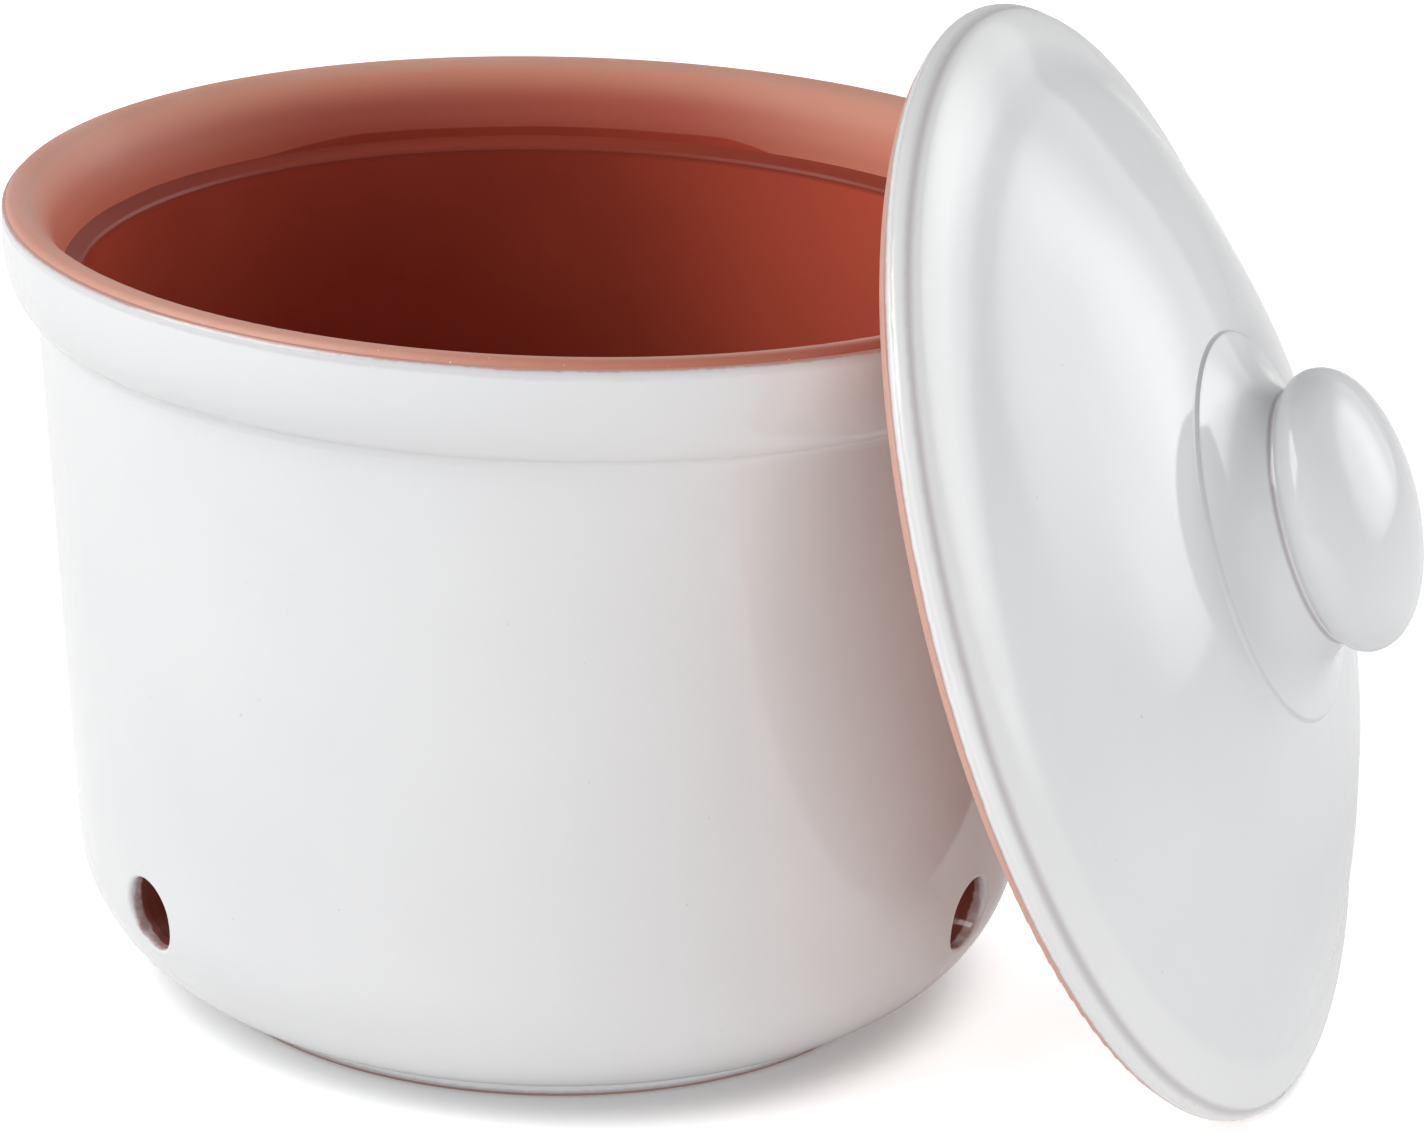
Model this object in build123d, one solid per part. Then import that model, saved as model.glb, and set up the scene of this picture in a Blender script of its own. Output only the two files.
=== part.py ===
# Glazed clay storage pot with three vent holes, and its knobbed lid standing against the collar.
# Millimetres, +Z up. The pot's own axis is Z and the floor it stands on is z = 0.
import os
from math import acos, atan2, cos, degrees, hypot, radians, sin, sqrt
from build123d import *

os.makedirs("parts", exist_ok=True)

# Glazes
GLAZE_T = 0.5
VENT_GLAZE_T = 0.25
CLEAR_T = 0.3

# Pot, outside: height of the rim, and the body's glazed radius at the collar with its draft
RIM_Z = 149.9
BODY_R_AT_TOP = 97.1
BODY_TAPER = 0.0657
COLLAR_OVERHANG = 4.9
COLLAR_H = 19.2
COLLAR_CURVE_H = 13.7
COLLAR_TOP_H = 2.2
COLLAR_FOOT_ROUND = 2.5
RIM_SET_IN = 2.9
BARE_RIM_H = 1.2
CORNER_R = 28.7
CORNER_LIFT = 1.8
FOOT_SET_OUT = 7.1
FOOT_GLAZE_Z = 0.7
FOOT_GLAZE_ROUND = 1.0

# Pot, inside
WALL = 8.0
SEAT_W = 7.8
SEAT_H = 14.1
LEDGE_DROP = 1.6
LEDGE_ROUND = 0.8

# Vent holes
VENT_D = 14.2
VENT_Z = 27.3
VENT_ANGLES = (-147.6, -32.4, 90.0)
VENT_MOUTH_ROUND = 0.8
VENT_INNER_ROUND = 1.4
VENT_GLAZE_DEPTH = 3.2

# Lid, measured from the plane of its lower clay edge along its own axis
LID_OVERHANG = 0.2
LID_EDGE_SET_IN = 3.3
LID_BAND_Z = 4.1
LID_GLAZE_EDGE_SET_IN = 0.8
LID_GLAZE_EDGE_Z = 1.8
LID_GROOVE_SET_IN = 1.45
LID_GROOVE_Z = 6.1
LID_GROOVE_ROUND = 0.6
LID_CROWN_R = 35.8
LID_CROWN_Z = 30.4
LID_CEILING_Z = 14.5
LID_SHOULDER_W = 22.0
LID_RING_PLAY = 2.8
LID_RING_W = 4.5
LID_RING_DROP = 3.0
LID_RING_ROUND = 1.2

# Knob and the sweep that carries it
STEP_IN = 0.5
STEP_UP = 0.7
NECK_R = 23.05
NECK_H = 8.7
KNOB_LIP_OUT = 0.85
KNOB_LIP_H = 1.5
KNOB_R = 25.7
KNOB_LOW_H = 3.5
KNOB_HIGH_H = 11.9

# How the lid stands: its edge at the floor, the hollow under it against the collar
LID_TURN = -22.9
LID_RISE = 21.04
LID_ASIDE = -2.0
LID_LIFT = 0.58
LID_GAP = 0.31

# Shapes of the curves between those sizes: share of the way across, share of the way up
CREST_SHAPE = (0.75, 0.27)
SEAT_SHAPE = ((0.641, 0.901), (0.269, 0.624), (0.064, 0.298))
DOME_SHAPE = (
    (0.996, 0.031), (0.985, 0.058), (0.967, 0.082), (0.941, 0.109), (0.901, 0.140), (0.850, 0.185), (0.799, 0.251),
    (0.750, 0.333), (0.701, 0.401), (0.647, 0.467), (0.574, 0.549), (0.500, 0.632), (0.422, 0.716), (0.336, 0.796),
    (0.249, 0.864), (0.165, 0.922), (0.080, 0.969),
)
SWEEP_SHAPE = (
    (0.869, 0.044), (0.682, 0.125), (0.494, 0.244), (0.322, 0.400), (0.184, 0.575), (0.078, 0.775),
)
KNOB_LOW_SHAPE = ((0.472, 0.229), (0.833, 0.571))
KNOB_HIGH_SHAPE = (
    (0.988, 0.168), (0.946, 0.345), (0.872, 0.504), (0.759, 0.655), (0.626, 0.773), (0.475, 0.870), (0.319, 0.941),
    (0.160, 0.986),
)
SHOULDER_SHAPE = ((0.614, 0.833), (0.205, 0.540), (0.064, 0.273))

DRAFT = degrees(atan2(BODY_TAPER, 1.0))

# What follows from the sizes above
COLLAR_R = BODY_R_AT_TOP + COLLAR_OVERHANG
COLLAR_FOOT_Z = RIM_Z - COLLAR_H
COLLAR_WIDEST_Z = COLLAR_FOOT_Z + COLLAR_CURVE_H
COLLAR_TOP_Z = RIM_Z - COLLAR_TOP_H
GLAZE_TOP_Z = RIM_Z - BARE_RIM_H
RIM_R = COLLAR_R - RIM_SET_IN
SEAT_R = RIM_R - SEAT_W
SEAT_Z = RIM_Z - SEAT_H
LID_R = COLLAR_R + LID_OVERHANG
LID_EDGE_R = LID_R - LID_EDGE_SET_IN
LID_GLAZE_EDGE_R = LID_R - LID_GLAZE_EDGE_SET_IN
LID_GROOVE_R = LID_R - LID_GROOVE_SET_IN
LID_RING_OUT_R = SEAT_R - LID_RING_PLAY
LID_RING_IN_R = LID_RING_OUT_R - LID_RING_W
LID_CEILING_R = LID_RING_IN_R - LID_SHOULDER_W
STEP_R = LID_CROWN_R - STEP_IN
STEP_Z = LID_CROWN_Z + STEP_UP
NECK_Z = LID_CROWN_Z + NECK_H
KNOB_LIP_R = NECK_R + KNOB_LIP_OUT
KNOB_LIP_Z = NECK_Z + KNOB_LIP_H
KNOB_WIDEST_Z = KNOB_LIP_Z + KNOB_LOW_H
KNOB_TOP_Z = KNOB_WIDEST_Z + KNOB_HIGH_H


def between(start, end, share):
    """The point a share of the way across and a share of the way up from start to end."""
    return (start[0] + (end[0] - start[0]) * share[0], start[1] + (end[1] - start[1]) * share[1])


def shaped(start, end, shares):
    return [between(start, end, share) for share in shares]


def turned(edges):
    return revolve(Plane.XZ * make_face(Wire(edges)), Axis.Z)


def chain(*points):
    return [Line(points[i], points[i + 1]) for i in range(len(points) - 1)]


def inset_points(points, depth):
    moved = []
    last = len(points) - 1
    for i, (r, z) in enumerate(points):
        before = points[max(i - 1, 0)]
        after = points[min(i + 1, last)]
        run = after[0] - before[0]
        rise = after[1] - before[1]
        length = hypot(run, rise)
        moved.append((r - depth * rise / length, z + depth * run / length))
    return moved


def body_r(z):
    return BODY_R_AT_TOP + BODY_TAPER * (z - GLAZE_TOP_Z)


CORNER_Z = CORNER_R + CORNER_LIFT
CORNER_AT_R = body_r(CORNER_Z - CORNER_R * sin(radians(DRAFT))) - CORNER_R * cos(radians(DRAFT))
FOOT_R = CORNER_AT_R + FOOT_SET_OUT


def corner_point(angle, inset):
    radius = CORNER_R - inset
    return (CORNER_AT_R + radius * cos(radians(angle)), CORNER_Z + radius * sin(radians(angle)))


def foot_crease_z(inset):
    return CORNER_Z - sqrt((CORNER_R - inset) ** 2 - (FOOT_SET_OUT - inset) ** 2)


def pot_outside(inset):
    foot_r = FOOT_R - inset
    low_angle = -degrees(acos((FOOT_SET_OUT - inset) / (CORNER_R - inset)))
    low = (foot_r, foot_crease_z(inset))
    high = corner_point(-DRAFT, inset)
    crease = (body_r(COLLAR_FOOT_Z) - inset, COLLAR_FOOT_Z + inset)
    wide = (COLLAR_R - inset, COLLAR_WIDEST_Z)
    return [
        Line((foot_r, 0.0), low),
        ThreePointArc(low, corner_point((low_angle - DRAFT) / 2, inset), high),
        Line(high, crease),
        EllipticalCenterArc(
            (crease[0], wide[1]), wide[0] - crease[0], wide[1] - crease[1], start_angle=270, arc_size=90
        ),
        Line(wide, (wide[0], COLLAR_TOP_Z)),
    ]


def pot_inside(inset, top_z):
    radius = CORNER_R - WALL - inset
    ledge_z = SEAT_Z - LEDGE_DROP
    bend = (CORNER_AT_R + radius * cos(radians(DRAFT)), CORNER_Z - radius * sin(radians(DRAFT)))
    mid = (CORNER_AT_R + radius * cos(radians(45)), CORNER_Z - radius * sin(radians(45)))
    floor_z = CORNER_Z - radius
    ledge = (body_r(ledge_z) - WALL - inset, ledge_z + inset)
    cavity = turned(
        chain((0, top_z), (SEAT_R, top_z), (SEAT_R, SEAT_Z + inset), ledge, bend)
        + [ThreePointArc(bend, mid, (CORNER_AT_R, floor_z))]
        + chain((CORNER_AT_R, floor_z), (0, floor_z), (0, top_z))
    )
    return fillet(circles_at(cavity, ledge[1]), LEDGE_ROUND + inset)


def circles_at(solid, z):
    return [e for e in solid.edges() if e.geom_type == GeomType.CIRCLE and abs(e.center().Z - z) < 0.02]


def bored(solid, bore_r):
    """Vents bored inwards from outside the collar to well inside the wall."""
    reach = COLLAR_R - CORNER_AT_R + CORNER_R
    for angle in VENT_ANGLES:
        bore = Cylinder(bore_r, reach, align=(Align.CENTER, Align.CENTER, Align.MAX))
        solid = solid - Pos(0, 0, VENT_Z) * Rot(0, 0, angle) * Rot(0, 90, 0) * Pos(0, 0, COLLAR_R) * bore
    return solid


def mouths(solid, wall_r):
    """Edges where the vents meet the wall whose radius at the vents' height is given."""
    found = []
    for edge in solid.edges():
        at = edge.center()
        for angle in VENT_ANGLES:
            across = at.Y * cos(radians(angle)) - at.X * sin(radians(angle))
            along = at.X * cos(radians(angle)) + at.Y * sin(radians(angle))
            near = along > 0 and hypot(across, at.Z - VENT_Z) < VENT_D
            if near and abs(hypot(at.X, at.Y) - wall_r) < WALL / 4 and edge.geom_type == GeomType.BSPLINE:
                found.append(edge)
    return found


# The pot's clay: turned, hollowed, then bored for its vents
rim = (RIM_R, RIM_Z)
seat_foot = (SEAT_R, SEAT_Z)
shoulder = (COLLAR_R - GLAZE_T, COLLAR_TOP_Z)
crest = Spline(
    shoulder, between(rim, shoulder, CREST_SHAPE), rim, tangents=((0, 1), (-1, 0))
)
seat = Spline([rim] + shaped(seat_foot, rim, SEAT_SHAPE) + [seat_foot], tangents=((-1, 0), (-0.05, -1)))
pot_blank = turned(
    pot_outside(GLAZE_T) + [crest, seat] + chain(seat_foot, (0, SEAT_Z), (0, 0), (FOOT_R - GLAZE_T, 0))
)
outer_mouth_r = body_r(VENT_Z) - GLAZE_T
inner_mouth_r = body_r(VENT_Z) - WALL + CLEAR_T
pot_clay = bored(pot_blank - pot_inside(-CLEAR_T, SEAT_Z), VENT_D / 2)
pot_clay = fillet(mouths(pot_clay, outer_mouth_r), VENT_MOUTH_ROUND - VENT_GLAZE_T)
pot_clay = fillet(mouths(pot_clay, inner_mouth_r), VENT_INNER_ROUND)

# The white glaze outside, which also runs a little way into the vents
glaze_lip = (COLLAR_R - BARE_RIM_H * 2 / 3, GLAZE_TOP_Z)
glaze_turn = between((COLLAR_R, COLLAR_TOP_Z), glaze_lip, (0.25, 0.7))
glaze_end = [ThreePointArc((COLLAR_R, COLLAR_TOP_Z), glaze_turn, glaze_lip)]
glazed = turned(pot_outside(0) + glaze_end + chain(glaze_lip, (0, GLAZE_TOP_Z), (0, 0), (FOOT_R, 0)))
glazed = fillet(circles_at(glazed, COLLAR_FOOT_Z), COLLAR_FOOT_ROUND)
glazed = fillet(circles_at(glazed, foot_crease_z(0)), FOOT_GLAZE_ROUND)
glazed = bored(glazed, VENT_D / 2 - VENT_GLAZE_T)
glazed = fillet(mouths(glazed, body_r(VENT_Z)), VENT_MOUTH_ROUND)
under = turned(pot_outside(GLAZE_T) + [crest] + chain(rim, (0, RIM_Z), (0, 0), (FOOT_R - GLAZE_T, 0)))
under = bored(under, VENT_D / 2)
under = fillet(mouths(under, outer_mouth_r), VENT_MOUTH_ROUND - VENT_GLAZE_T)
deep = pot_outside(GLAZE_T + VENT_GLAZE_DEPTH)
core = turned(
    deep[1:4] + chain(deep[3] @ 1, (0, COLLAR_WIDEST_Z), (0, VENT_Z - VENT_D), deep[1] @ 0)
)
below = Cylinder(COLLAR_R, FOOT_GLAZE_Z, align=(Align.CENTER, Align.CENTER, Align.MIN))
pot_glaze = glazed - under - core - below

# The clear glaze inside, from the ledge down
clear_top_z = SEAT_Z + CLEAR_T
pot_clear_glaze = pot_inside(-CLEAR_T, clear_top_z) - pot_inside(0, clear_top_z)
pot_clear_glaze = bored(pot_clear_glaze, VENT_D / 2 + VENT_INNER_ROUND)

# Lid outlines, from the outer edge inwards
groove = (LID_GROOVE_R, LID_GROOVE_Z)
crown = (LID_CROWN_R, LID_CROWN_Z)
step = (STEP_R, STEP_Z)
neck = (NECK_R, NECK_Z)
lip = (KNOB_LIP_R, KNOB_LIP_Z)
widest = (KNOB_R, KNOB_WIDEST_Z)
knob_top = (0.0, KNOB_TOP_Z)
dome_points = [groove] + shaped((LID_CROWN_R, LID_GROOVE_Z), (LID_GROOVE_R, LID_CROWN_Z), DOME_SHAPE) + [crown]
sweep_points = [step] + shaped((NECK_R, STEP_Z), (STEP_R, NECK_Z), SWEEP_SHAPE) + [neck]
sweep_points.append((NECK_R, (NECK_Z + KNOB_LIP_Z) / 2))
knob_points = (
    [lip] + shaped(lip, widest, KNOB_LOW_SHAPE) + [widest]
    + shaped((0.0, KNOB_WIDEST_Z), (KNOB_R, KNOB_TOP_Z), KNOB_HIGH_SHAPE) + [knob_top]
)


def lid_outline(inset):
    dome = inset_points(dome_points, inset)
    sweep = inset_points(sweep_points, inset)
    knob = inset_points(knob_points, inset)
    knob[-1] = (0.0, KNOB_TOP_Z - inset)
    edge = (LID_GLAZE_EDGE_R - inset, LID_GLAZE_EDGE_Z)
    return [
        ThreePointArc(edge, (LID_R - inset, LID_BAND_Z), dome[0]),
        Spline(dome),
        Line(dome[-1], sweep[0]),
        Spline(sweep),
        Line(sweep[-1], knob[0]),
        Spline(knob),
    ]


lid_lines = lid_outline(GLAZE_T)
seam = lid_lines[1] @ 1
ceiling_edge = (LID_CEILING_R, LID_CEILING_Z)
ring_inside = (LID_RING_IN_R, 0.0)
clay_edge = lid_lines[0] @ 0
edge_turn = between((LID_EDGE_R, 0.0), (clay_edge.X, clay_edge.Y), (0.7, 0.35))
shoulder_curve = Spline(
    [ceiling_edge] + shaped(ring_inside, ceiling_edge, SHOULDER_SHAPE) + [ring_inside],
    tangents=((1, 0), (0.1, -1)),
)
lid_disc = turned(
    [ThreePointArc((LID_EDGE_R, 0), edge_turn, clay_edge)] + lid_lines[:2]
    + chain(seam, (0, seam.Y), (0, LID_CEILING_Z), ceiling_edge) + [shoulder_curve]
    + chain(
        ring_inside, (LID_RING_IN_R, -LID_RING_DROP), (LID_RING_OUT_R, -LID_RING_DROP), (LID_RING_OUT_R, 0),
        (LID_EDGE_R, 0),
    )
)
lid_disc = fillet(circles_at(lid_disc, -LID_RING_DROP), LID_RING_ROUND)
lid_knob = turned(lid_lines[2:] + chain((0, KNOB_TOP_Z - GLAZE_T), (0, seam.Y), seam))

# The lid's glaze is what lies between its outside and the clay
glazed_lid = turned(
    lid_outline(0) + chain(knob_top, (0, LID_GLAZE_EDGE_Z), (LID_GLAZE_EDGE_R, LID_GLAZE_EDGE_Z))
)
glazed_lid = fillet(circles_at(glazed_lid, LID_GROOVE_Z), LID_GROOVE_ROUND)
clay_lid = turned(lid_lines + chain((0, KNOB_TOP_Z - GLAZE_T), (0, 0), (clay_edge.X, 0), clay_edge))
lid_glaze = glazed_lid - clay_lid

# The lid's stand: as far out as the collar pushes it, as low as its edge allows
turn = radians(LID_TURN)
rise = radians(LID_RISE)
touch_r = COLLAR_R - RIM_SET_IN / 14
touch_z = COLLAR_TOP_Z + COLLAR_TOP_H / 3
centre_z = LID_R * cos(rise) - LID_BAND_Z * sin(rise) + LID_LIFT
touch_up = (touch_z - centre_z - LID_CEILING_Z * sin(rise)) / cos(rise)
past_ceiling = max(0.0, touch_up - LID_CEILING_R) / LID_SHOULDER_W
hollow_z = LID_CEILING_Z - past_ceiling * (LID_CEILING_Z + LID_RING_DROP)
support = touch_r * cos(rise) + touch_z * sin(rise)
out = (support + LID_GAP - hollow_z - centre_z * sin(rise)) / cos(rise)
centre = (out * cos(turn) - LID_ASIDE * sin(turn), out * sin(turn) + LID_ASIDE * cos(turn), centre_z)
lid_axis = (cos(rise) * cos(turn), cos(rise) * sin(turn), sin(rise))
stand = Plane(origin=centre, x_dir=(-sin(turn), cos(turn), 0), z_dir=lid_axis).location

pieces = {
    "pot_clay": pot_clay,
    "pot_glaze": pot_glaze,
    "pot_clear_glaze": pot_clear_glaze,
    "lid_disc": stand * lid_disc,
    "lid_knob": stand * lid_knob,
    "lid_glaze": stand * lid_glaze,
}
for name, piece in pieces.items():
    export_step(piece.solids()[0], "parts/" + name + ".step")
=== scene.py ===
# Looks for the glazed clay storage pot and its leaning lid: glazes, clay, studio and camera.
import math

import bpy
from mathutils import Matrix, Vector

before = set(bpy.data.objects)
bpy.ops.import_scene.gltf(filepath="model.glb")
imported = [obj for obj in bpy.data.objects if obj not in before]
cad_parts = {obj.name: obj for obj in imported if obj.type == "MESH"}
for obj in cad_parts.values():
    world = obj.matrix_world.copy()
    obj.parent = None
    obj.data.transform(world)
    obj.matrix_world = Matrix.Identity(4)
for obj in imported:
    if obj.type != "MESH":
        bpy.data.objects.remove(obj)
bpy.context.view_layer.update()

# How the lid stands, in metres and degrees, as in the solid model
LID_CENTRE = Vector((0.0981, -0.04361, 0.094494))
LID_TURN = math.radians(-22.9)
LID_RISE = math.radians(21.04)
LID_AXIS = Vector((
    math.cos(LID_RISE) * math.cos(LID_TURN), math.cos(LID_RISE) * math.sin(LID_TURN), math.sin(LID_RISE)
))

# Camera, as fitted to the photograph's circles
IMAGE_W = 1424
FOCAL_PX = 5300.0
SENSOR_MM = 36.0
CAMERA_AT = Vector((-0.0473, -0.9331, 0.4158))
HEADING = math.radians(4.700)
PITCH = math.radians(19.951)
ROLL = math.radians(1.874)

# Where the vents are, as in the solid model
VENT_Z = 0.0273
VENT_ANGLES = (-147.6, -32.4, 90.0)

# Glaze colours
GLAZE_WHITE = (0.84, 0.845, 0.85, 1)
GLAZE_COOL = (0.81, 0.815, 0.825, 1)
# Painted light: the lid's outer ring is whitened where its curve catches more light
GLAZE_LIT_RING = (0.88, 0.88, 0.875, 1)
GLAZE_MAUVE = (0.48, 0.43, 0.46, 1)
GLAZE_VENT = (0.42, 0.29, 0.28, 1)
GLAZE_THIN = (0.58, 0.33, 0.29, 1)

# Clay colours: bare, on the flare, and soaked with clear glaze
CLAY = (0.74, 0.40, 0.31, 1)
CLAY_DARK = (0.66, 0.31, 0.225, 1)
CLAY_PALE = (0.83, 0.54, 0.45, 1)
LID_EDGE_CLAY = (0.70, 0.42, 0.345, 1)
# The bare foot strip is painted dark grey-brown: painted shade where the foot meets the floor
FOOT_CLAY_SHADED = (0.42, 0.28, 0.24, 1)
RIM_RED = (0.46, 0.12, 0.075, 1)
# Down the flare the clay darkens, partly its own deeper colour and partly painted shade; at the right and
# left its low part is paler, painted light and sheen
FLARE_TOP = (0.80, 0.36, 0.245, 1)
FLARE_LOW = (0.60, 0.126, 0.082, 1)
FLARE_LIT_LEFT = (0.66, 0.185, 0.115, 1)
FLARE_LIT_RIGHT = (0.84, 0.31, 0.205, 1)
DEEP_CLAY = (0.38, 0.068, 0.038, 1)
# A painted-light copy of the soaked clay, for its right side
DEEP_CLAY_LIT = (0.56, 0.105, 0.060, 1)
DEEP_CLAY_DARK = (0.32, 0.054, 0.031, 1)
# Painted shade on the ledge, darker than the soaked clay
LEDGE_SHADE_CLAY = (0.34, 0.060, 0.036, 1)
BORE_CLAY = (0.20, 0.055, 0.040, 1)
# Painted light: the soaked clay is brightened by this near the mouth
MOUTH_LIGHT = (1.22, 1.22, 1.28, 1)

# Gloss
WHITE_IOR = 1.52
WHITE_ROUGH = (0.07, 0.11)
CLEAR_SPECULAR = 0.25
CLEAR_ROUGH = (0.13, 0.19)
LEDGE_EXTRA_ROUGH = 0.25
LID_CLAY_ROUGH = (0.62, 0.72)
POT_CLAY_SPECULAR = 0.3
POT_CLAY_ROUGH = (0.40, 0.48)
WET_ROUGH = 0.16

# Textures: scale and detail, and the roughness where there is a third number
GLAZE_DRIFT = (14.0, 3.0)
GLAZE_SHEEN = (60.0, 3.0)
GLAZE_MOTTLE = (330.0, 3.0, 0.6)
GLAZE_PINHOLES = (800.0, 1.0)
GLAZE_SWELL = (26.0, 1.5)
GLAZE_PEEL = (600.0, 1.0)
CLEAR_DRIFT = (22.0, 4.0)
CLEAR_SWELL = (30.0, 2.0)
CLAY_DRIFT = (30.0, 4.0)
CLAY_GRAIN = (900.0, 3.0, 0.6)
CLAY_SPECKS = (1700.0, 0.5)

# Bumps: height in metres and strength
SWELL_BUMP = (0.0004, 0.2)
BEAD_BUMP = (0.0003, 0.6)
PEEL_BUMP = (0.00001, 0.25)
CLEAR_BUMP = (0.0004, 0.25)
LID_GRAIN_BUMP = (0.00005, 0.4)
POT_GRAIN_BUMP = (0.00005, 0.35)

# How much of its colour each fine mark takes
MOTTLE_SHARES = (0.65, 1.0)
PINHOLE_SHARE = 0.35
CLAY_DRIFT_SHARE = 0.5
GRAIN_SHARE = 0.25
SPECK_SHARE = 0.7

# Below, a pair is where a change starts and where it is complete, in metres, with these exceptions:
# a bead, groove, step or lip has its centre and how far it reaches, a wander or ragged edge has the
# scale of its noise and its reach, and shares go from left to right.
# White glaze on the pot, by height, by distance from a vent's axis and by depth behind the wall's face
# The mauve band below the rim's glaze edge is partly thin glaze and partly a painted reflection
RIM_MAUVE = (0.1462, 0.1484)
RIM_MAUVE_SHARE = 0.35
RIM_BREAK = (0.1481, 0.1485)
RIM_BEAD = (0.1476, 0.0009)
FOOT_MAUVE = (0.0016, 0.0008)
FOOT_MAUVE_SHARE = 0.8
VENT_BORE = (0.0074, 0.0070)
VENT_WALL_R = 0.0847
VENT_WALL_LEAN = 0.16
VENT_THIN_DEPTH = (0.0013, 0.0022)
VENT_SOAK_DEPTH = (0.0024, 0.0030)
VENT_LOW_SIDE = (VENT_Z + 0.004, VENT_Z - 0.006)
VENT_LOW_DEPTH = 0.0012
RIM_WANDER = (50.0, 0.0007)
RIM_RAGGED = (650.0, 0.0004)

# White glaze on the lid, by height above its edge and by distance from its axis
LID_BREAK = (0.0026, 0.0021)
LID_BEAD = (0.0030, 0.0008)
LID_OUTSIDE = (0.097, 0.099)
# The groove's mauve is painted shade; the knob lip's mauve is partly thin glaze and partly painted shade
LID_GROOVE = (0.0061, 0.0012)
LID_GROOVE_SHARE = 0.62
LID_STEP = (0.0353, 0.0006)
LID_STEP_SHARE = 0.28
KNOB_LIP = (0.0391, 0.0007)
KNOB_LIP_IN = (0.0262, 0.0250)
KNOB_LIP_SHARE = 0.9
# The lid's outer ring is painted lighter: painted light
LID_LIT_RING = (0.0915, 0.0945)
LID_LIT_RING_SHARE = 0.8
LID_RAGGED = (420.0, 0.0005)

# Bare clay on the lid's edge
LID_EDGE_OUT = (0.096, 0.099)
LID_EDGE_UP = (-0.0005, 0.0005)
LID_EDGE_SHARE = 0.8

# Bare clay on the pot, by height, by distance from its axis and by place from left to right; the flare
# darkens downwards, partly painted shade, and its low part is paler at the sides, painted light
FLARE_HEIGHT = (0.1496, 0.1420)
FLARE_INNER = (0.0972, 0.0955)
FLARE_SHARE = 0.9
FLARE_LIT_RIGHT_SIDE = (0.020, 0.075)
FLARE_LIT_LEFT_SIDE = (-0.040, -0.070)
RIM_HEIGHT = (0.140, 0.148)
RIM_RED_OUT = (0.0988, 0.1006)
RIM_RED_SIDE = (-0.060, 0.050)
RIM_RED_SHARES = (0.10, 0.90)
SPECK_OUT = (0.0985, 0.0995)
FOOT_HEIGHT = (0.0012, 0.0006)

# Clear glaze: how high it has soaked in, climbing at both sides, and where the inside is painted brighter as
# painted light
SOAK_Z = 0.1375
SOAK_EDGE = (SOAK_Z + 0.0003, SOAK_Z - 0.0002)
SOAK_WANDER = (45.0, 0.0010)
CLIMB_LEFT_SIDE = (-0.035, -0.057)
CLIMB_LEFT = 0.0017
CLIMB_RIGHT_SIDE = (0.034, 0.052)
CLIMB_RIGHT = 0.0028
INSIDE_OUT = (0.0925, 0.0915)
INSIDE_UP = (0.004, 0.006)
SOAKED_BORE = (0.0092, 0.0086)
DEEP_LIT_SIDE = (0.005, 0.080)
MOUTH_LIGHT_HEIGHT = (0.085, 0.134)
LEDGE_OUT = (0.0868, 0.0884)
LEDGE_UP = (0.1325, 0.1337)

# Floor: its glow is seen by the camera and in reflections, and is weaker close under the object, a painted
# contact shadow
FLOOR_HALF = 4.0
FLOOR_COLOUR = (0.86, 0.86, 0.86, 1)
FLOOR_GLOW = 0.78
FLOOR_GLOW_UNDER = 0.14
FLOOR_MIRRORED = 0.51
FLOOR_OPENNESS = (0.18, 0.56)
FLOOR_REACH = 0.03
FLOOR_SAMPLES = 12

# World: a dim room, brightest to the right and darkest overhead, with a window at the right and behind.
# The window is three soft lobes: direction, where each starts and is full, and its strength.
ROOM_COLOUR = (0.985, 0.99, 1.0, 1)
ROOM_LOW = 0.16
ROOM_SIDES = (((-1, 0, 0), 0.30), ((0, 1, 0), 0.30), ((1, 0, 0), 0.55))
ROOM_SIDE = (0.0, 0.9)
CEILING = (0.30, 0.80)
CEILING_SHARE = 0.15
WINDOW = (
    ((0.882, 0.356, 0.309), (0.905, 0.990), 2.0),
    ((0.674, 0.314, 0.669), (0.870, 0.970), 0.4),
    ((0.727, 0.654, 0.208), (0.930, 0.985), 0.5),
)
WINDOW_FRAME = (0.618, -0.552, 0.563)
WINDOW_FRAME_EDGE = (-0.01, 0.02)

# Lamps: where each stands, what it points at, its size in metres and its power in watts
KEY_LAMP = ((-1.35, -0.30, 1.25), (0, 0, 0.08), (1.3, 1.3), 22.0)
RIGHT_FILL = ((1.0, -1.2, 1.0), (0.05, 0, 0.08), (1.6, 1.6), 3.0)
FRONT_FILL = ((0.2, -1.7, 0.12), (0, 0, 0.08), (1.6, 0.2), 8.5)

scene = bpy.context.scene
scene.view_settings.view_transform = "Standard"


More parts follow.
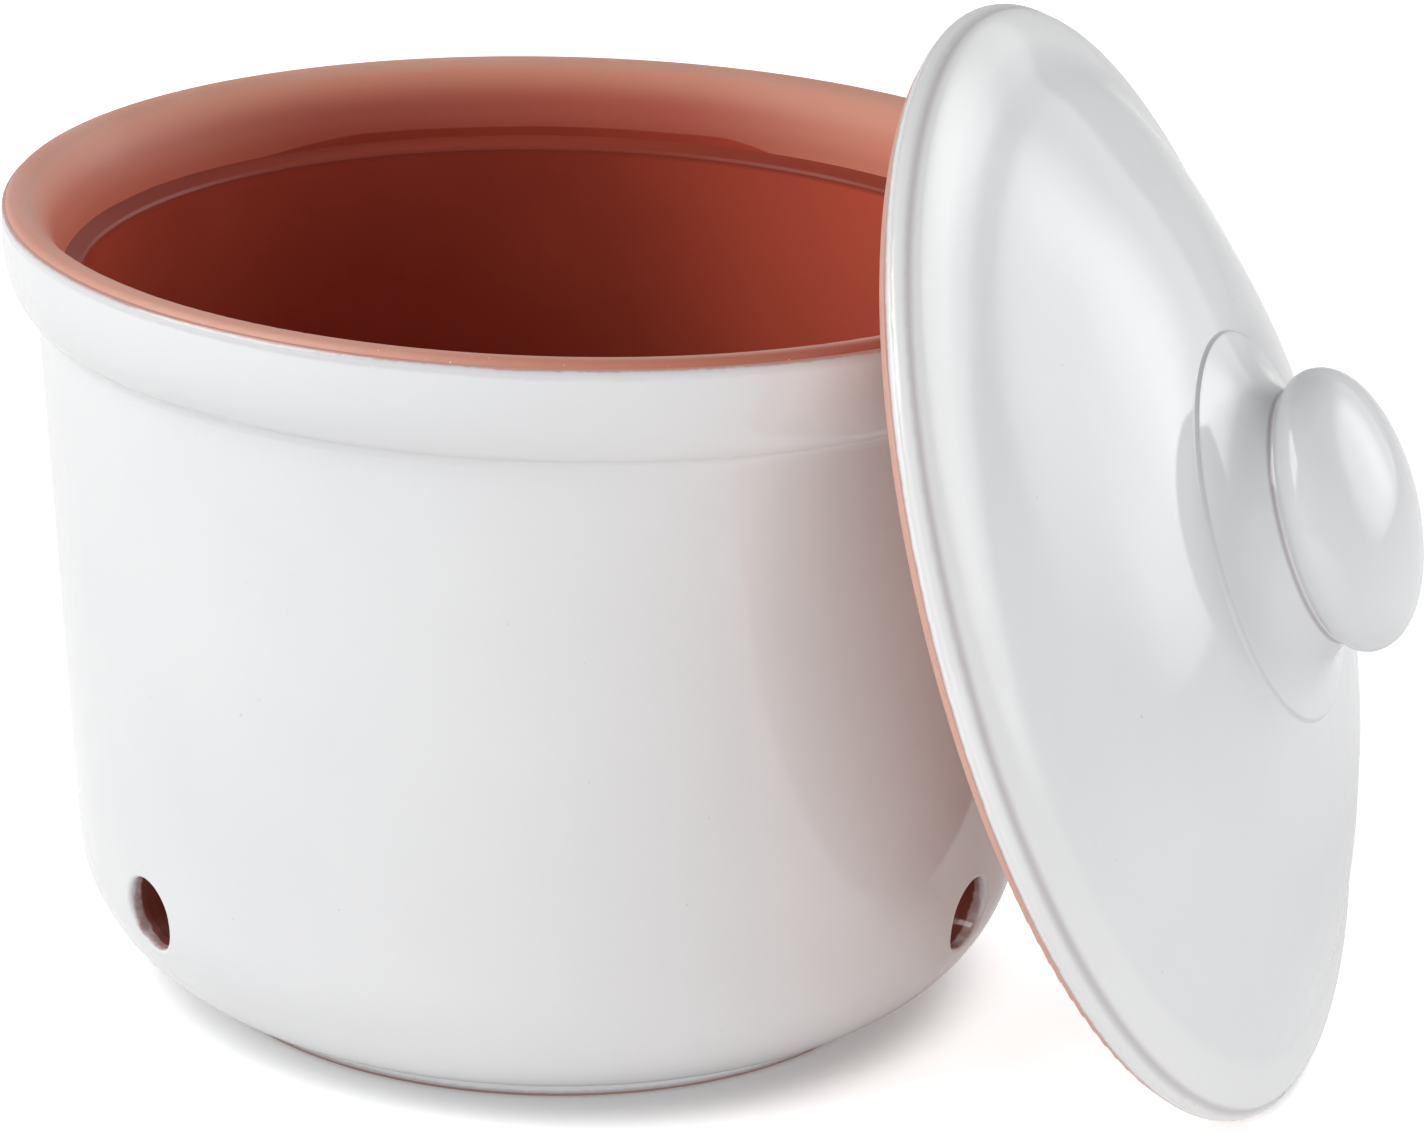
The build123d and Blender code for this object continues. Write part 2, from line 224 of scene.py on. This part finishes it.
class Tree:
    """Short names for building a node material."""

    def __init__(self, name, world=False):
        kinds = bpy.data.worlds if world else bpy.data.materials
        self.owner = kinds.new(name)
        self.owner.use_nodes = True
        self.tree = self.owner.node_tree
        self.tree.nodes.clear()
        self.output = "ShaderNodeOutputWorld" if world else "ShaderNodeOutputMaterial"

    def add(self, kind, inputs=None, **settings):
        node = self.tree.nodes.new(kind)
        for key, value in settings.items():
            setattr(node, key, value)
        for key, value in (inputs or {}).items():
            self.feed(node.inputs[key], value)
        return node

    def feed(self, socket, value):
        if isinstance(value, bpy.types.NodeSocket):
            self.tree.links.new(value, socket)
        else:
            socket.default_value = value

    def maths(self, operation, a, b=0.0, c=0.0):
        node = self.add("ShaderNodeMath", operation=operation)
        self.feed(node.inputs[0], a)
        self.feed(node.inputs[1], b)
        if operation == "MULTIPLY_ADD":
            self.feed(node.inputs[2], c)
        return node.outputs[0]

    def plus(self, a, b):
        return self.maths("ADD", a, b)

    def times(self, a, b):
        return self.maths("MULTIPLY", a, b)

    def most(self, a, b):
        return self.maths("MAXIMUM", a, b)

    def vector(self, operation, a, b=(0, 0, 0)):
        node = self.add("ShaderNodeVectorMath", operation=operation)
        self.feed(node.inputs[0], a)
        self.feed(node.inputs[1], b)
        return node.outputs["Value"] if operation in ("DOT_PRODUCT", "LENGTH") else node.outputs["Vector"]

    def along(self, place, direction):
        return self.vector("DOT_PRODUCT", place, direction)

    def span(self, value, between, to=(0.0, 1.0)):
        """Smooth change from one value to another while value goes between the two limits."""
        node = self.add("ShaderNodeMapRange", interpolation_type="SMOOTHSTEP")
        self.feed(node.inputs["Value"], value)
        for key, number in zip(("From Min", "From Max", "To Min", "To Max"), (*between, *to)):
            self.feed(node.inputs[key], number)
        return node.outputs["Result"]

    def near(self, value, centre, width):
        """1 where value is at centre, fading to 0 at width away."""
        away = self.maths("ABSOLUTE", self.maths("SUBTRACT", value, centre))
        return self.span(away, (0.0, width), (1.0, 0.0))

    def mix(self, factor, a, b, blend="MIX"):
        node = self.add("ShaderNodeMix", data_type="RGBA", blend_type=blend)
        self.feed(node.inputs[0], factor)
        self.feed(node.inputs[6], a)
        self.feed(node.inputs[7], b)
        return node.outputs[2]

    def noise(self, place, scale, detail=2.0, roughness=0.5):
        node = self.add(
            "ShaderNodeTexNoise", {"Vector": place, "Scale": scale, "Detail": detail, "Roughness": roughness}
        )
        return node.outputs["Fac"]

    def drift(self, place, scale, detail, to=(0.0, 1.0)):
        """Broad, slow change from one value to another."""
        return self.span(self.noise(place, scale, detail), (0.3, 0.7), to)

    def wander(self, place, scale, reach):
        """Irregular offset of up to half the reach either way."""
        return self.maths("MULTIPLY_ADD", self.noise(place, scale), reach, -reach / 2)

    def place(self):
        return self.add("ShaderNodeTexCoord").outputs["Object"]

    def bump(self, height, distance, strength=1.0, under=None):
        node = self.add("ShaderNodeBump", {"Height": height, "Distance": distance, "Strength": strength})
        if under is not None:
            self.feed(node.inputs["Normal"], under)
        return node.outputs["Normal"]

    def surface(self, colour, roughness, normal, own=None):
        """Finished material; what is the same all over goes in own, straight on the shader's sockets."""
        inputs = {"Base Color": colour, "Roughness": roughness, "Normal": normal}
        return self.finish(self.add("ShaderNodeBsdfPrincipled", {**inputs, **(own or {})}))

    def finish(self, shader):
        out = self.add(self.output)
        self.tree.links.new(shader.outputs[0], out.inputs["Surface"])
        return self.owner


def round_pot(tree):
    """Place, distance from the pot's axis and height above the floor, in metres."""
    place = tree.place()
    flat = tree.vector("MULTIPLY", place, (1, 1, 0))
    return place, tree.vector("LENGTH", flat), tree.along(place, (0, 0, 1))


def round_lid(tree):
    """Place, distance from the lid's axis and height above its edge, in metres."""
    place = tree.place()
    from_centre = tree.vector("SUBTRACT", place, tuple(LID_CENTRE))
    height = tree.along(from_centre, tuple(LID_AXIS))
    across = tree.vector("LENGTH", tree.vector("CROSS_PRODUCT", from_centre, tuple(LID_AXIS)))
    return place, across, height


def vent_axes(tree, place):
    """Distance from the nearest vent's axis, in metres; far away on the other side of the pot."""
    nearest = None
    rise = tree.maths("SUBTRACT", tree.along(place, (0, 0, 1)), VENT_Z)
    for angle in VENT_ANGLES:
        turn = math.radians(angle)
        across = tree.along(place, (-math.sin(turn), math.cos(turn), 0))
        outward = tree.along(place, (math.cos(turn), math.sin(turn), 0))
        squares = tree.plus(tree.maths("POWER", across, 2.0), tree.maths("POWER", rise, 2.0))
        off = tree.plus(tree.maths("SQRT", squares), tree.maths("LESS_THAN", outward, 0.0))
        nearest = off if nearest is None else tree.maths("MINIMUM", nearest, off)
    return nearest


def white_glaze(name, thin):
    """Glossy white glaze: thin(tree) says where it turns mauve (thin glaze, painted shade, painted
    reflection), where it thins to clay and to soaked clay, where it is painted lighter as painted light, and
    where it swells.
    """
    tree = Tree(name)
    place, mauve_at, vent_at, clay_at, soaked_at, ring_lit_at, raised = thin(tree)
    colour = tree.mix(tree.drift(place, *GLAZE_DRIFT), GLAZE_WHITE, GLAZE_COOL)
    colour = tree.mix(ring_lit_at, colour, GLAZE_LIT_RING)
    colour = tree.mix(mauve_at, colour, GLAZE_MAUVE)
    mottle = tree.span(tree.noise(place, *GLAZE_MOTTLE), (0.35, 0.60), MOTTLE_SHARES)
    colour = tree.mix(tree.times(vent_at, mottle), colour, GLAZE_VENT)
    colour = tree.mix(clay_at, colour, GLAZE_THIN)
    colour = tree.mix(soaked_at, colour, BORE_CLAY)
    pinhole = tree.span(tree.noise(place, *GLAZE_PINHOLES), (0.80, 0.84))
    colour = tree.mix(tree.times(pinhole, PINHOLE_SHARE), colour, GLAZE_MAUVE)
    swell = tree.bump(tree.noise(place, *GLAZE_SWELL), *SWELL_BUMP)
    edge = tree.bump(raised, *BEAD_BUMP, swell)
    peel = tree.bump(tree.noise(place, *GLAZE_PEEL), *PEEL_BUMP, edge)
    rough = tree.drift(place, *GLAZE_SHEEN, WHITE_ROUGH)
    return tree.surface(colour, rough, peel, {"IOR": WHITE_IOR})


def pot_thin(tree):
    place, across, height = round_pot(tree)
    ragged = tree.wander(place, *RIM_RAGGED)
    level = tree.plus(height, tree.plus(tree.wander(place, *RIM_WANDER), ragged))
    # Mauve band below the rim: partly thin glaze, partly painted reflection
    band = tree.span(level, RIM_MAUVE, (0.0, RIM_MAUVE_SHARE))
    foot = tree.span(tree.plus(height, ragged), FOOT_MAUVE, (0.0, FOOT_MAUVE_SHARE))
    bore = tree.span(vent_axes(tree, place), VENT_BORE)
    wall = tree.maths("MULTIPLY_ADD", height, VENT_WALL_LEAN, VENT_WALL_R)
    depth = tree.plus(tree.maths("SUBTRACT", wall, across), tree.times(ragged, 2.0))
    soaked = tree.times(bore, tree.span(depth, VENT_SOAK_DEPTH))
    low_side = tree.span(height, VENT_LOW_SIDE, (0.0, VENT_LOW_DEPTH))
    vent = tree.times(bore, tree.span(tree.plus(depth, low_side), VENT_THIN_DEPTH))
    top = tree.span(level, RIM_BREAK)
    bead = tree.near(level, *RIM_BEAD)
    return place, tree.most(band, foot), vent, top, soaked, 0.0, bead


def lid_thin(tree):
    place, across, height = round_lid(tree)
    level = tree.plus(height, tree.wander(place, *LID_RAGGED))
    outside = tree.span(across, LID_OUTSIDE)
    # Mauve in the groove is painted shade; under the knob's lip it is partly thin glaze and partly painted
    # shade
    groove = tree.times(tree.near(height, *LID_GROOVE), tree.times(outside, LID_GROOVE_SHARE))
    lip = tree.times(tree.near(height, *KNOB_LIP), tree.span(across, KNOB_LIP_IN))
    step = tree.times(tree.near(across, *LID_STEP), LID_STEP_SHARE)
    mauve = tree.most(groove, tree.most(tree.times(lip, KNOB_LIP_SHARE), step))
    # Painted light on the lid's outer ring
    lit_ring = tree.times(tree.span(across, LID_LIT_RING), LID_LIT_RING_SHARE)
    bead = tree.times(tree.near(level, *LID_BEAD), outside)
    return place, mauve, 0.0, tree.span(level, LID_BREAK), 0.0, lit_ring, bead


def grained(tree, place):
    """Fired clay's colour, with its grain and its broad drift."""
    broad = tree.drift(place, *CLAY_DRIFT)
    grain = tree.noise(place, *CLAY_GRAIN)
    colour = tree.mix(tree.times(broad, CLAY_DRIFT_SHARE), CLAY, CLAY_DARK)
    colour = tree.mix(tree.span(grain, (0.55, 0.75), (0.0, GRAIN_SHARE)), colour, CLAY_PALE)
    colour = tree.mix(tree.span(grain, (0.40, 0.28), (0.0, GRAIN_SHARE)), colour, CLAY_DARK)
    return colour, grain, broad


def soaked_clay(tree, broad, sideways):
    """The colour of clay under clear glaze, painted brighter towards the right: painted light."""
    colour = tree.mix(broad, DEEP_CLAY, DEEP_CLAY_DARK)
    return tree.mix(tree.span(sideways, DEEP_LIT_SIDE), colour, DEEP_CLAY_LIT)


def lid_clay(name):
    tree = Tree(name)
    place, across, height = round_lid(tree)
    colour, grain, broad = grained(tree, place)
    edge = tree.times(tree.span(across, LID_EDGE_OUT), tree.span(height, LID_EDGE_UP))
    colour = tree.mix(tree.times(edge, LID_EDGE_SHARE), colour, LID_EDGE_CLAY)
    rough = tree.span(broad, (0.0, 1.0), LID_CLAY_ROUGH)
    return tree.surface(colour, rough, tree.bump(grain, *LID_GRAIN_BUMP))


def pot_clay_finish(name):
    """Bare clay at the rim and foot, darker down the flare, partly painted shade, paler at the flare's sides
    as painted light, glossy where the clear glaze has run.
    """
    tree = Tree(name)
    place, across, height = round_pot(tree)
    sideways = tree.along(place, (1, 0, 0))
    colour, grain, broad = grained(tree, place)

    # Painted light and sheen: the flare's low part is paler at the right and the left; down the flare it
    # darkens, partly painted shade
    flare_low = tree.mix(tree.span(sideways, FLARE_LIT_RIGHT_SIDE), FLARE_LOW, FLARE_LIT_RIGHT)
    flare_low = tree.mix(tree.span(sideways, FLARE_LIT_LEFT_SIDE), flare_low, FLARE_LIT_LEFT)
    flare = tree.mix(tree.span(height, FLARE_HEIGHT), FLARE_TOP, flare_low)
    colour = tree.mix(tree.times(tree.span(across, FLARE_INNER), FLARE_SHARE), colour, flare)

    rim_red = tree.times(tree.span(across, RIM_RED_OUT), tree.span(height, RIM_HEIGHT))
    rim_red = tree.times(rim_red, tree.span(sideways, RIM_RED_SIDE, RIM_RED_SHARES))
    colour = tree.mix(rim_red, colour, RIM_RED)
    speck = tree.span(tree.noise(place, *CLAY_SPECKS), (0.80, 0.83), (0.0, SPECK_SHARE))
    near_glaze = tree.times(tree.span(across, SPECK_OUT), tree.span(height, RIM_HEIGHT))
    colour = tree.mix(tree.times(speck, near_glaze), colour, GLAZE_WHITE)

    climb_left = tree.span(sideways, CLIMB_LEFT_SIDE, (0.0, CLIMB_LEFT))
    climb = tree.plus(climb_left, tree.span(sideways, CLIMB_RIGHT_SIDE, (0.0, CLIMB_RIGHT)))
    level = tree.plus(tree.plus(height, tree.wander(place, *SOAK_WANDER)), climb)
    inside = tree.times(tree.span(across, INSIDE_OUT), tree.span(height, INSIDE_UP))
    bore = tree.span(vent_axes(tree, place), SOAKED_BORE)
    wet = tree.most(tree.times(tree.span(level, SOAK_EDGE), inside), bore)
    # Painted light: the soaked clay is brightened near the mouth
    deep = tree.mix(1.0, soaked_clay(tree, broad, sideways), MOUTH_LIGHT, "MULTIPLY")
    colour = tree.mix(wet, colour, tree.mix(bore, deep, BORE_CLAY))
    # Painted shade: the foot strip is darkened where it meets the floor
    colour = tree.mix(tree.span(height, FOOT_HEIGHT), colour, FOOT_CLAY_SHADED)

    fine = tree.times(grain, tree.maths("SUBTRACT", 1.0, wet))
    dry = tree.span(broad, (0.0, 1.0), POT_CLAY_ROUGH)
    rough = tree.add("ShaderNodeMix", {0: wet, 2: dry, 3: WET_ROUGH}).outputs[0]
    normal = tree.bump(fine, *POT_GRAIN_BUMP)
    return tree.surface(colour, rough, normal, {"Specular IOR Level": POT_CLAY_SPECULAR})


def clear_glaze(name):
    """Clear glaze over red clay, painted brighter near the mouth as painted light, and on the ledge rougher
    and painted darker as painted shade.
    """
    tree = Tree(name)
    place, across, height = round_pot(tree)
    colour = soaked_clay(tree, tree.drift(place, *CLEAR_DRIFT), tree.along(place, (1, 0, 0)))
    colour = tree.mix(tree.span(height, MOUTH_LIGHT_HEIGHT), colour, MOUTH_LIGHT, "MULTIPLY")
    ledge = tree.times(tree.span(across, LEDGE_OUT), tree.span(height, LEDGE_UP))
    # Painted shade on the ledge
    colour = tree.mix(ledge, colour, LEDGE_SHADE_CLAY)
    sheen = tree.drift(place, *GLAZE_SHEEN, CLEAR_ROUGH)
    rough = tree.maths("MULTIPLY_ADD", ledge, LEDGE_EXTRA_ROUGH, sheen)
    swell = tree.bump(tree.noise(place, *CLEAR_SWELL), *CLEAR_BUMP)
    return tree.surface(colour, rough, swell, {"Specular IOR Level": CLEAR_SPECULAR})


def dress(node, material):
    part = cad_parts[node]
    for i in range(max(1, len(part.material_slots))):
        part.material_slots[i].material = material


def lay_floor():
    corners = [(x * FLOOR_HALF, y * FLOOR_HALF, 0) for x, y in ((-1, -1), (1, -1), (1, 1), (-1, 1))]
    mesh = bpy.data.meshes.new("floor")
    mesh.from_pydata(corners, [], [(0, 1, 2, 3)])
    floor = bpy.data.objects.new("floor", mesh)
    scene.collection.objects.link(floor)
    tree = Tree("floor")
    rays = tree.add("ShaderNodeLightPath").outputs
    seen = tree.most(rays["Is Camera Ray"], tree.times(rays["Is Glossy Ray"], FLOOR_MIRRORED))
    openness = tree.add("ShaderNodeAmbientOcclusion", {"Distance": FLOOR_REACH}, samples=FLOOR_SAMPLES)
    # Painted contact shadow: the glow is weaker where the object closes in over the floor
    white = tree.span(openness.outputs["AO"], FLOOR_OPENNESS, (FLOOR_GLOW_UNDER, FLOOR_GLOW))
    diffuse = tree.add("ShaderNodeBsdfDiffuse", {"Color": FLOOR_COLOUR})
    glow = tree.add("ShaderNodeEmission", {"Color": (1, 1, 1, 1), "Strength": tree.times(seen, white)})
    both = tree.add("ShaderNodeAddShader", {0: diffuse.outputs[0], 1: glow.outputs[0]})
    mesh.materials.append(tree.finish(both))


def light_room():
    tree = Tree("studio", world=True)
    towards = tree.add("ShaderNodeTexCoord").outputs["Generated"]
    level = ROOM_LOW
    for direction, strength in ROOM_SIDES:
        level = tree.plus(level, tree.span(tree.along(towards, direction), ROOM_SIDE, (0.0, strength)))
    overhead = tree.span(tree.along(towards, (0, 0, 1)), CEILING, (1.0, CEILING_SHARE))
    level = tree.times(level, overhead)
    window = 0.0
    for direction, between, strength in WINDOW:
        window = tree.plus(window, tree.span(tree.along(towards, direction), between, (0.0, strength)))
    framed = tree.span(tree.along(towards, WINDOW_FRAME), WINDOW_FRAME_EDGE)
    level = tree.plus(level, tree.times(window, framed))
    scene.world = tree.finish(tree.add("ShaderNodeBackground", {"Color": ROOM_COLOUR, "Strength": level}))


def softbox(name, at, aim, size, power):
    lamp = bpy.data.lights.new(name, "AREA")
    lamp.shape = "RECTANGLE"
    lamp.size, lamp.size_y = size
    lamp.energy = power
    holder = bpy.data.objects.new(name, lamp)
    holder.location = at
    holder.rotation_euler = (Vector(aim) - Vector(at)).to_track_quat("-Z", "Y").to_euler()
    scene.collection.objects.link(holder)
    return holder


def set_camera():
    lens = bpy.data.cameras.new("camera")
    lens.sensor_fit = "HORIZONTAL"
    lens.sensor_width = SENSOR_MM
    lens.lens = lens.sensor_width * FOCAL_PX / IMAGE_W
    camera = bpy.data.objects.new("camera", lens)
    forward = Vector((
        math.sin(HEADING) * math.cos(PITCH), math.cos(HEADING) * math.cos(PITCH), -math.sin(PITCH)
    ))
    level = Vector((math.cos(HEADING), -math.sin(HEADING), 0.0))
    upward = level.cross(forward)
    right = level * math.cos(ROLL) + upward * math.sin(ROLL)
    up = upward * math.cos(ROLL) - level * math.sin(ROLL)
    turned = Matrix((right, up, -forward)).transposed().to_4x4()
    camera.matrix_world = Matrix.Translation(CAMERA_AT) @ turned
    scene.collection.objects.link(camera)
    return camera


dress("pot_clay", pot_clay_finish("pot_terracotta"))
for node in ("lid_disc", "lid_knob"):
    dress(node, lid_clay(node + "_terracotta"))
dress("pot_glaze", white_glaze("pot_white_glaze", pot_thin))
dress("lid_glaze", white_glaze("lid_white_glaze", lid_thin))
dress("pot_clear_glaze", clear_glaze("clear_glaze"))

lay_floor()
light_room()

# The two fills light the shaded sides and aren't seen in the glaze
softbox("key", *KEY_LAMP)
for name, lamp in (("right", RIGHT_FILL), ("front", FRONT_FILL)):
    softbox(name, *lamp).visible_glossy = False

bpy.context.scene.camera = set_camera()
